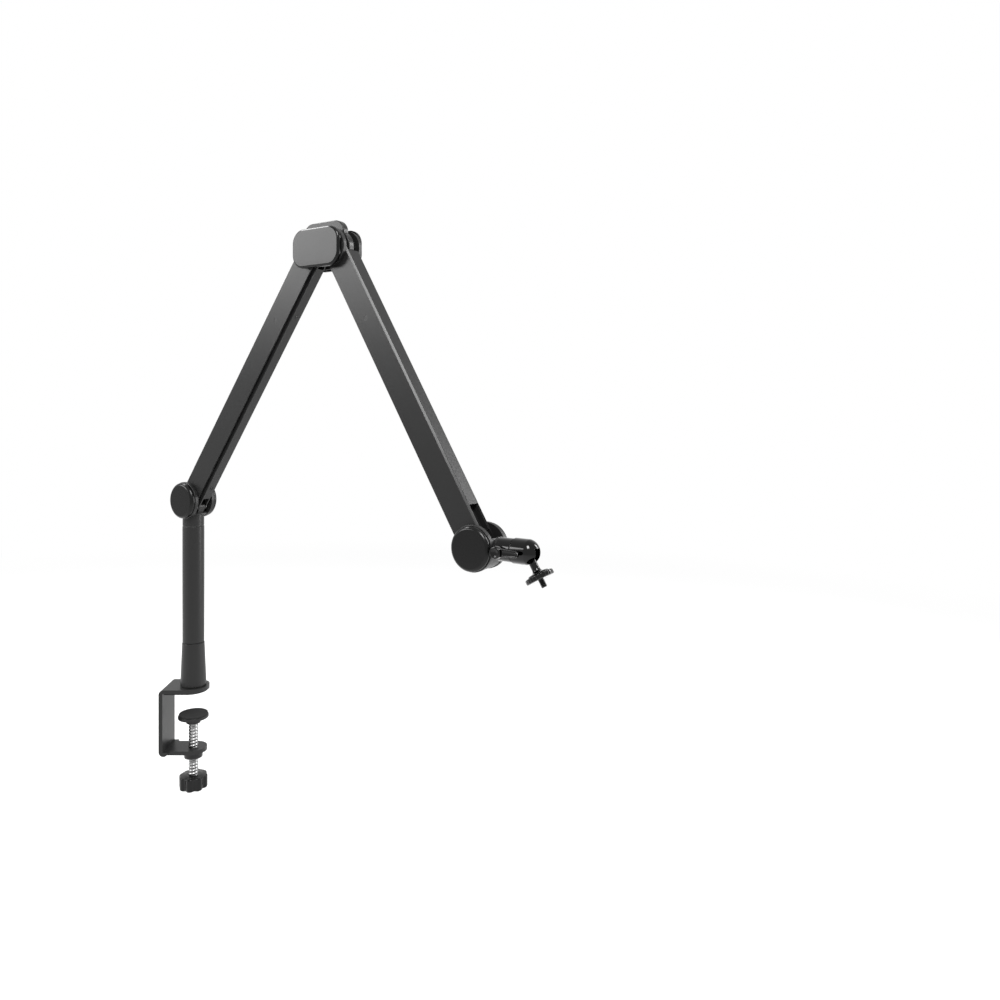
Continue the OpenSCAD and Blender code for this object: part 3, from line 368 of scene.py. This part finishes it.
def thread_rings(radius, depth, pitch, low_z, high_z, lead, sides, steps):
    """Rings of a thread about Z: a cylinder whose radius follows the helix, with this many rings
    to a turn. It runs out at both ends over the length of the lead."""
    crest, flank_width, run_out = 0.15, 0.7, 1.2
    rows = []
    count = int((high_z - low_z) / pitch * steps)
    for k in range(count + 1):
        z = low_z + (high_z - low_z) * k / count
        end = min(z - low_z, high_z - z)
        ring = []
        for i in range(sides):
            flank = abs(2 * ((z / pitch - i / sides) % 1.0) - 1)
            cut = depth * min(max((flank - crest) / flank_width, 0), 1)
            taper = max(0.0, 1 - end / lead) * depth * run_out
            r = radius - max(cut, taper)
            a = math.tau * i / sides
            ring.append((r * math.cos(a), r * math.sin(a), z))
        rows.append(ring)
    return rows


def piece(name, bm, material, node, sharp):
    """A finished piece from a bmesh: faces outwards, smooth up to a sharp angle in degrees."""
    bmesh.ops.remove_doubles(bm, verts=bm.verts, dist=1e-6)
    bmesh.ops.recalc_face_normals(bm, faces=bm.faces)
    me = bpy.data.meshes.new(name)
    for f in bm.faces:
        f.smooth = True
    bm.to_mesh(me)
    bm.free()
    me.set_sharp_from_angle(angle=math.radians(sharp))
    ob = bpy.data.objects.new(name, me)
    scene.collection.objects.link(ob)
    return settle(ob, material, node)


low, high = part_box("clamp_screw")
bm = bmesh.new()
skin(bm, thread_rings(radius=6.0, depth=0.9, pitch=4.0, low_z=low.z * 1000, high_z=high.z * 1000,
                      lead=1.2, sides=64, steps=12))
piece("clamp_screw_thread", bm, zinc, "clamp_screw", sharp=50)

# Clamp knob: one glass-filled nylon moulding with eight soft lobes and a dished underside,
# pressed on the end of the clamp screw.
moulded = finish("moulded_cover", colour=0.003, edge_wear_highlight_colour=0.02, rough=0.2,
                 grain_scale=2200.0, grain_depth=0.05, edge_wear_highlight_amount=0.12, specular=0.18)
knob_r, lobes, lobe_depth = 18.0, 8, 2.6
foot_round, top_round, top_drop, top_fade = 2.4, 2.0, 2.4, 0.4
low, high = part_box("clamp_knob")
z0, z1 = low.z * 1000, high.z * 1000


def around(sides, z, radius):
    """A ring of points about Z at one height. The radius is a function of the angle."""
    ring = []
    for i in range(sides):
        a = math.tau * i / sides
        ring.append((radius(a) * math.cos(a), radius(a) * math.sin(a), z))
    return ring


def lobed(r, z, depth):
    """A ring of the knob. The hollows between its lobes are as deep as given."""
    return around(lobes * 24, z, lambda a: r - depth * (0.5 - 0.5 * math.cos(lobes * a)) ** 1.6)


rings = [lobed(9.0, z0 + 2.6, 0), lobed(11.5, z0 + 2.4, 0), lobed(13.4, z0 + 1.2, 0.5)]
for k in range(9):
    a = math.radians(-90 + 90 * k / 8)
    rings.append(lobed(knob_r - foot_round + foot_round * math.cos(a),
                       z0 + foot_round + foot_round * math.sin(a), lobe_depth))
for k in range(7):
    a = math.radians(90 * k / 6)
    rings.append(lobed(knob_r - top_round + top_round * math.cos(a),
                       z1 - top_drop + top_round * math.sin(a), lobe_depth - top_fade * k))
for r, drop in ((11.0, 0.4), (10.2, 0.1), (9.2, 0), (6.3, 0)):
    rings.append(lobed(r, z1 - drop, 0))
bm = bmesh.new()
skin(bm, rings)
piece("clamp_knob_lobed", bm, moulded, "clamp_knob", sharp=40)

# Riser: a tapered steel socket screwed to the clamp from below, and a plain tube standing in it
# on a plug. A nylon bush in the tube's top shows as a thin line under the swivel.
grey_nylon = finish("grey_nylon", colour=0.05, edge_wear_highlight_colour=0.09, rough=0.4,
                    grain_scale=1200.0, grain_depth=0.1, edge_wear_highlight_amount=0.1)
dressed("riser_socket", powder_coat, 0.3)
dressed("riser_tube", powder_coat, 0.2)
dressed("riser_plug", zinc, 0.3)
dressed("socket_screws", zinc, 0.25)
dressed("socket_set_screw", zinc, 0.2)
dressed("swivel_bush", grey_nylon, 0.1)
dressed("swivel_retainer", zinc, 0.3)

# Base head: a cast yoke with two round ears, powder coated; the shoulder pin and the link pin
# cross it, pressed into the ears.
dressed("base_head", powder_coat, 0.35)
dressed("shoulder_pin", zinc, 0.3)
dressed("shoulder_link_pin", zinc, 0.2)

# Base covers: moulded caps that snap over the ears, flat-faced with a broad rounded edge and a
# thin foot line. All joint covers are made the same way, square to the arms' plane.
yaw = math.radians(33.6)
along = Vector((math.cos(yaw), -math.sin(yaw), 0))
rear = Vector((math.sin(yaw), math.cos(yaw), 0))
up = Vector((0, 0, 1))
pivot = {j["name"]: Vector(j["pos_m"]) for j in frame["joints"] if "pos_m" in j}
ear_face, cover_t = 15.0, 5.5
rim_steps, corner_steps, roundness, rim_depth = 12, 24, 0.45, 0.9
front_side, rear_side = -1, 1
round_cap = (45, 45, 22.5, 2.9)


def axes(x, y, z, at):
    """A frame with these three directions, placed at a point."""
    m = Matrix((x, y, z)).transposed().to_4x4()
    m.translation = at
    return m


def joint_cover(name, centre, side, size, node):
    """A cover on one side of a joint. Its size is its width, its height, its corner radius and
    how far in its rim reaches. The rim's curve is part round and part a straight slope."""
    width, height, corner, rim = size
    levels = [(0.5, 0.0), (0.12, 0.1), (0.0, 0.4)]
    for k in range(rim_steps + 1):
        share = k / rim_steps
        a = math.radians(90 * share)
        inward = roundness * (1 - math.cos(a)) + (1 - roundness) * share
        below = roundness * (1 - math.sin(a)) + (1 - roundness) * (1 - share)
        levels.append((rim * inward, cover_t - 0.03 - rim * rim_depth * below))
    levels += [(rim + 0.3, cover_t - 0.025), (corner * 0.45, cover_t - 0.01),
               (corner * 0.9, cover_t)]
    rings = []
    for inset, z in levels:
        ring = []
        for q, (sx, sy) in enumerate(((1, 1), (-1, 1), (-1, -1), (1, -1))):
            cx, cy = sx * (width / 2 - corner), sy * (height / 2 - corner)
            for k in range(corner_steps + 1):
                a = math.radians(90 * q + 90 * k / corner_steps)
                r = corner - inset
                ring.append((cx + r * math.cos(a), cy + r * math.sin(a), z))
        rings.append(ring)
    out = rear * side
    bm = bmesh.new()
    skin(bm, rings, axes(along, out.cross(along), out, centre + out * ear_face / 1000))
    piece(name, bm, moulded, node, sharp=50)


joint_cover("base_front_cap", pivot["shoulder"], front_side, round_cap, "base_front_cover")
joint_cover("base_rear_cap", pivot["shoulder"], rear_side, round_cap, "base_rear_cover")

# Lower arm: a black anodised section, open below, with a channel along its back that a snap-in
# cover closes. A folded steel link bar, as black as the arm, runs inside it and shows as a
# strip below.
back_corner, planed = 2.2, 0.47
# The anodised edges are lighter, partly rubbed wear and partly a painted highlight along the bright corner line.
anodised = finish("satin_anodised", colour=0.011, edge_wear_highlight_colour=0.1, rough=0.27, grain_scale=2600.0,
                  grain_depth=0.06, edge_wear_highlight_amount=0.35, specular=0.19, edge_mm=0.8)
blackened = finish("blackened_steel", colour=0.03, edge_wear_highlight_colour=0.2, rough=0.36,
                   grain_scale=1500.0, grain_depth=0.15, metal=1.0, specular=0.5)
lower_x = (pivot["elbow_level"] - pivot["shoulder"]).normalized()


def back_of(x):
    """The way to an arm's back, where its channel is, square to a line along the arm."""
    return x.cross(rear) if x.dot(along) > 0 else rear.cross(x)


def arm_shell(node, pivot_at, x):
    """The section, its two rounded back corners planed almost flat, as on the extrusion."""
    ob = dressed(node, anodised, 0.35)
    back = back_of(x)
    places = [((v.co - pivot_at).dot(rear) * 1000, (v.co - pivot_at).dot(back) * 1000)
              for v in ob.data.vertices]
    side = max(y for y, z in places) - back_corner
    top = max(z for y, z in places) - back_corner
    for v, (y, z) in zip(ob.data.vertices, places):
        over = abs(y) - side + z - top - back_corner
        if abs(y) > side and z > top and over > 0:
            v.co -= (rear * math.copysign(1, y) + back) * over * planed / 1000


def arm(which, pivot_at, x):
    """An arm and the pieces inside it, which both arms have. They are named by the arm."""
    arm_shell(which + "_arm_shell", pivot_at, x)
    dressed(which + "_channel_cover", anodised, 0.25)
    dressed(which + "_link_bar", anodised, 0.35)
    dressed(which + "_arm_bushes", grey_nylon, 0.3)
    dressed(which + "_link_glide", grey_nylon, 0.3)
    dressed(which + "_spring_lug", zinc, 0.25)
    dressed(which + "_spring_pin", blackened, 0.2)


arm("lower", pivot["shoulder"], lower_x)

# Link screws: blackened button screws with hexagon sockets, two in the underside of each link
# bar. One tree sets a screw on every point that it is given.
screw_places, bar_under = (32, 290), 3.0


def coated(tree, shape, given):
    """The end of a tree: its shape made real, in the finish that the tree is given."""
    real = tree.nodes.new("GeometryNodeRealizeInstances")
    tree.links.new(shape, real.inputs[0])
    coat = tree.nodes.new("GeometryNodeSetMaterial")
    tree.links.new(real.outputs[0], coat.inputs["Geometry"])
    tree.links.new(given.outputs["Finish"], coat.inputs["Material"])
    out = tree.nodes.new("NodeGroupOutput")
    tree.links.new(coat.outputs[0], out.inputs[0])


def screws_on_points():
    """Geometry Nodes: a socket screw on each point, its head standing out along the turned Z."""
    t = bpy.data.node_groups.new("screws_on_points", "GeometryNodeTree")
    sockets(t, "INPUT", (
        ("Points", "Geometry", None),
        ("Head diameter", "Float", 0.005),
        ("Head height", "Float", 0.0008),
        ("Socket size", "Float", 0.0023),
        ("Shank diameter", "Float", 0.003),
        ("Shank length", "Float", 0.0045),
        ("Turn", "Vector", (0, 0, 0)),
        ("Finish", "Material", None),
    ))
    sockets(t, "OUTPUT", [("Screws", "Geometry", None)])
    new, link = t.nodes.new, t.links.new
    given = new("NodeGroupInput")

    def share(name, factor):
        return maths(t, "MULTIPLY", given.outputs[name], factor)

    def lifted(shape, height):
        at = new("ShaderNodeCombineXYZ")
        link(height, at.inputs["Z"])
        move = new("GeometryNodeTransform")
        link(shape, move.inputs["Geometry"])
        link(at.outputs[0], move.inputs["Translation"])
        return move.outputs[0]

    head = new("GeometryNodeMeshCone")
    head.inputs["Vertices"].default_value = 32
    link(share("Head diameter", 0.42), head.inputs["Radius Top"])
    link(share("Head diameter", 0.5), head.inputs["Radius Bottom"])
    link(given.outputs["Head height"], head.inputs["Depth"])
    key = new("GeometryNodeMeshCylinder")
    key.inputs["Vertices"].default_value = 6
    link(share("Socket size", 0.5), key.inputs["Radius"])
    link(given.outputs["Head height"], key.inputs["Depth"])
    cut = new("GeometryNodeMeshBoolean")
    cut.operation = "DIFFERENCE"
    link(head.outputs["Mesh"], cut.inputs["Mesh 1"])
    link(lifted(key.outputs["Mesh"], share("Head height", 0.85)), cut.inputs["Mesh 2"])
    shank = new("GeometryNodeMeshCylinder")
    shank.inputs["Vertices"].default_value = 24
    link(share("Shank diameter", 0.5), shank.inputs["Radius"])
    link(given.outputs["Shank length"], shank.inputs["Depth"])
    whole = new("GeometryNodeJoinGeometry")
    link(cut.outputs["Mesh"], whole.inputs[0])
    link(lifted(shank.outputs["Mesh"], share("Shank length", -0.5)), whole.inputs[0])
    turn = new("FunctionNodeEulerToRotation")
    link(given.outputs["Turn"], turn.inputs[0])
    setter = new("GeometryNodeInstanceOnPoints")
    link(given.outputs["Points"], setter.inputs["Points"])
    link(whole.outputs[0], setter.inputs["Instance"])
    link(turn.outputs[0], setter.inputs["Rotation"])
    coated(t, setter.outputs[0], given)
    return t


def grown(name, start, tree, material, node, values):
    """What a tree makes from a start mesh or curve, as a plain mesh piece."""
    values = {"Finish": material, **values}
    seed = bpy.data.objects.new(name + "_start", start)
    scene.collection.objects.link(seed)
    mod = seed.modifiers.new("grow", "NODES")
    mod.node_group = tree
    for item in tree.interface.items_tree:
        if item.item_type == "SOCKET" and item.in_out == "INPUT" and item.name in values:
            mod[item.identifier] = values[item.name]
    graph = bpy.context.evaluated_depsgraph_get()
    me = bpy.data.meshes.new_from_object(seed.evaluated_get(graph), depsgraph=graph)
    bpy.data.objects.remove(seed)
    me.name = name
    ob = bpy.data.objects.new(name, me)
    scene.collection.objects.link(ob)
    return settle(ob, material, node)


def link_screws(name, start, x, node):
    """The two screws of a link bar, measured from its start pivot along x to its other one."""
    back = back_of(x)
    under = start - back * bar_under / 1000
    me = bpy.data.meshes.new(name + "_points")
    me.from_pydata([under + x * s / 1000 for s in screw_places], [], [])
    turn = axes(x, (-back).cross(x), -back, Vector()).to_euler()
    grown(name, me, screw_tree, blackened, node, {"Turn": tuple(turn)})


screw_tree = screws_on_points()
link_screws("lower_socket_screws", pivot["lower_link"], lower_x, "lower_link_screws")

# Elbow: two oblong steel plates with a cast core between them, as black as the arms, whose hump
# bridges their channels. Pins cross both plates, and oblong covers snap over them.
oblong_cap = (71, 44, 16, 2.1)
elbow = (pivot["elbow_level"] + pivot["upper_swing"]) / 2
dressed("elbow_front_plate", powder_coat, 0.3)
dressed("elbow_rear_plate", powder_coat, 0.3)
dressed("elbow_core", anodised, 0.4)
dressed("elbow_pins", zinc, 0.3)
dressed("elbow_link_pins", zinc, 0.2)
joint_cover("elbow_front_cap", elbow, front_side, oblong_cap, "elbow_front_cover")
joint_cover("elbow_rear_cap", elbow, rear_side, oblong_cap, "elbow_rear_cover")

# Upper arm: the same section turned end for end, so that its channel opens at the wrist. Its
# link bar's screws are measured from the wrist, and so is its spring.
upper_run = pivot["wrist_level"] - pivot["upper_swing"]
upper_x = upper_run.normalized()
wrist_link = pivot["upper_link"] + upper_run
arm("upper", pivot["upper_swing"], upper_x)
link_screws("upper_socket_screws", wrist_link, -upper_x, "upper_link_screws")

# Balance springs: 1.6 mm music wire in 36 coils, stretched open, with a hook at each end turned
# a quarter against the other. One hooks into the lug on the link bar, the other round the
# arm's pin.
spring_steel = finish("spring_steel", colour=0.42, edge_wear_highlight_colour=0.5, rough=0.28,
                      grain_scale=2000.0, grain_depth=0.1, metal=1.0, specular=0.5)
wire_d, coil_r, hook_r, hook_lead = 1.6, 4.45, 3.6, 6.0
curls, curl_points = 36, 24
lug_ahead, lug_back = 56, -3
pin_place = (275, -1)


def wire_tree():
    """Geometry Nodes: round wire along a curve."""
    t = bpy.data.node_groups.new("wire_along_curve", "GeometryNodeTree")
    sockets(t, "INPUT", (
        ("Path", "Geometry", None),
        ("Wire diameter", "Float", wire_d / 1000),
        ("Sides", "Int", 12),
        ("Finish", "Material", None),
    ))
    sockets(t, "OUTPUT", [("Wire", "Geometry", None)])
    new, link = t.nodes.new, t.links.new
    given = new("NodeGroupInput")
    section = new("GeometryNodeCurvePrimitiveCircle")
    link(given.outputs["Sides"], section.inputs["Resolution"])
    link(maths(t, "MULTIPLY", given.outputs["Wire diameter"], 0.5), section.inputs["Radius"])
    sweep = new("GeometryNodeCurveToMesh")
    sweep.inputs["Fill Caps"].default_value = True
    link(given.outputs["Path"], sweep.inputs["Curve"])
    link(section.outputs["Curve"], sweep.inputs["Profile Curve"])
    coated(t, sweep.outputs["Mesh"], given)
    return t


spring_tree = wire_tree()


def balance_spring(name, pivot_at, x, offset, node):
    """The spring of one arm, from its link bar's lug to its pin further along x. The offset is
    from the arm's pivot to the bar's. It turns in the arm as the joint moves and takes the lug
    along, and the coils are flattened that way so that the hook follows the lug."""
    back = back_of(x)
    start = Vector((offset.dot(x) * 1000 + lug_ahead, lug_back))
    end = Vector(pin_place)
    run = end - start
    direction = (x * run.x + back * run.y).normalized()
    lift = back_of(direction)
    first = hook_lead + 2 * hook_r
    coil_l = run.length - first - hook_lead - hook_r
    left, right = -hook_lead - hook_r, coil_l + hook_lead + hook_r
    points = []
    for a in range(310, 30, -10):
        a = math.radians(a)
        points.append((left + hook_r * math.cos(a), hook_r * math.sin(a), 0))
    for i in range(-curl_points // 4, curls * curl_points + 1):
        a = math.tau * i / curl_points
        far = coil_l * i / (curls * curl_points)
        points.append((far, coil_r * math.sin(a), coil_r * math.cos(a)))
    for a in range(220, 500, 10):
        a = math.radians(a)
        points.append((right + hook_r * math.cos(a), 0, hook_r * math.sin(a)))
    origin = pivot_at + (x * start.x + back * start.y + direction * first) / 1000
    curve = bpy.data.curves.new(name + "_line", "CURVE")
    curve.dimensions = "3D"
    spline = curve.splines.new("POLY")
    spline.points.add(len(points) - 1)
    for p, (px, py, pz) in zip(spline.points, points):
        p.co = (*(origin + (direction * px + rear * py + lift * pz) / 1000), 1)
    ob = grown(name, curve, spring_tree, spring_steel, node, {})
    for f in ob.data.polygons:
        f.use_smooth = True
    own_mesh(ob)


balance_spring("lower_balance_spring", pivot["shoulder"], lower_x,
               pivot["lower_link"] - pivot["shoulder"], "lower_spring")
balance_spring("upper_balance_spring", pivot["wrist_level"], -upper_x,
               pivot["upper_link"] - pivot["upper_swing"], "upper_spring")

# Wrist: a cast drum with two ears and a machined face for the ball head, powder coated, with
# the same covers as the base.
dressed("wrist_housing", powder_coat, 0.35)
dressed("wrist_pin", zinc, 0.3)
dressed("wrist_link_pin", zinc, 0.2)
joint_cover("wrist_front_cap", pivot["wrist_level"], front_side, round_cap, "wrist_front_cover")
joint_cover("wrist_rear_cap", pivot["wrist_level"], rear_side, round_cap, "wrist_rear_cover")

# Ball head: a turned body bolted to the drum and a slotted cap that turns on it, both polished
# and black chromed, with a nylon seat behind the ball.
black_chrome = finish("black_chrome", colour=0.011, edge_wear_highlight_colour=0.1, rough=0.06, grain_scale=900.0,
                      grain_depth=0.01, patches=0.04, metal=1.0, specular=0.5, coat=0.25)
dressed("ball_head_body", black_chrome, 0.4)
dressed("ball_head_cap", black_chrome, 0.35)
dressed("ball_seat", grey_nylon, 0.2)
dressed("ball_head_bolt", zinc, 0.3)
dressed("ball_lock_stem", zinc, 0.2)

# Lock knob: a die-cast knob with one long wing, chromed as the head is, with a shallow pocket in
# the wing's face. It is pressed on the stem that squeezes the seat against the ball.
stem_along, stem_front = 31, 13.3
knob_at = pivot["wrist_level"] + (along * stem_along - rear * stem_front) / 1000
knob_frame = axes(along, up, -rear, knob_at)
root_r, tip_r, wing_reach, end_steps = 4.6, 3.2, 21.0, 24
hub_profile = [(2.6, 0.0), (5.6, 0.0), (6.0, 0.15), (6.2, 0.5), (6.2, 7.5), (6.08, 8.1),
               (5.75, 8.55), (5.3, 8.85), (4.7, 9.0), (4.1, 9.0), (3.8, 8.75), (3.5, 8.5),
               (1.0, 8.45)]
wing_levels = [(0.9, 2.0), (0.45, 2.1), (0.13, 2.4), (0.0, 2.9), (0.0, 6.2), (0.1, 6.6),
               (0.35, 6.88), (0.7, 7.0), (1.0, 6.98), (1.25, 6.75), (1.45, 6.5), (1.8, 6.4)]


def turned(profile):
    """Rings of a turned piece from its (radius, height) profile."""
    return [around(96, z, lambda a: r) for r, z in profile]


def wing(inset, z):
    """The wing's outline, drawn in by the inset: a round root, straight flanks and a round tip."""
    root, tip = root_r - inset, tip_r - inset
    lean = math.acos((root - tip) / wing_reach)
    ring = []
    for k in range(end_steps + 1):
        a = lean + (math.tau - 2 * lean) * k / end_steps
        ring.append((root * math.cos(a), root * math.sin(a), z))
    for k in range(end_steps + 1):
        a = -lean + 2 * lean * k / end_steps
        ring.append((wing_reach + tip * math.cos(a), tip * math.sin(a), z))
    return ring


bm = bmesh.new()
skin(bm, turned(hub_profile), knob_frame)
skin(bm, [wing(inset, z) for inset, z in wing_levels], knob_frame)
piece("ball_lock_wing_knob", bm, black_chrome, "ball_lock_knob", sharp=50)

# Ball stud: ball, neck and flange turned from one bar and black chromed. Past the flange it
# ends in a plain relief and a quarter inch thread of 20 turns to the inch.
stud_x = next(Vector(j["axis"]) for j in frame["joints"] if j["name"] == "lock_ring_turn")
stud_frame = axes(rear.cross(stud_x), rear, stud_x, pivot["stud_tilt"])
ball_r = 7
ball = [(ball_r * math.cos(math.radians(a)), ball_r * math.sin(math.radians(a)))
        for a in range(-87, 52, 3)]
neck = [(4.2, 5.6), (4.08, 6.2), (3.98, 8.0), (3.95, 13.0), (4.0, 17.5), (4.2, 19.4),
        (4.7, 20.5), (5.5, 21.05)]
flange = [(6.1, 21.3), (7.6, 21.85), (9.3, 22.1), (10.1, 22.3), (10.42, 22.6), (10.5, 22.9),
          (10.4, 23.2), (10.1, 23.4)]
relief = [(2.9, 23.4), (2.725, 23.5), (2.725, 29.5)]
bm = bmesh.new()
skin(bm, turned([(0.25, -6.995)] + ball + neck + flange + relief), stud_frame)
skin(bm, thread_rings(radius=3.175, depth=0.62, pitch=1.27, low_z=29.3, high_z=36.9,
                      lead=0.8, sides=48, steps=10), stud_frame)
piece("ball_stud_turned", bm, black_chrome, "ball_stud", sharp=40)

# Lock ring: turned and chromed like the stud, with 24 shallow flutes in its rim for the fingers
# and chamfers above and below. It screws down on whatever the stud carries.
flutes = 24
ring_profile = [(3.25, 23.6, 0), (12.4, 23.6, 0), (12.9, 23.66, 0), (13.5, 23.85, 0.1),
                (14.3, 24.4, 0.4), (14.46, 24.6, 0.5), (14.5, 24.9, 0.5), (14.5, 27.8, 0.5),
                (14.46, 28.1, 0.5), (14.3, 28.3, 0.4), (13.5, 28.85, 0.1), (12.9, 29.04, 0),
                (12.4, 29.1, 0), (3.25, 29.1, 0)]


def fluted(r, z, depth):
    """A ring of the lock ring. Its flutes are as deep as given."""
    return around(flutes * 12, z, lambda a: r - depth * max(0.0, math.cos(flutes * a)) ** 1.5)


bm = bmesh.new()
skin(bm, [fluted(*row) for row in ring_profile], stud_frame, hollow=True)
piece("lock_ring_fluted", bm, black_chrome, "lock_ring", sharp=40)

# Size: the box of the finished pieces, in metres. The box of the imported solids was taken after the import.
low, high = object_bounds()
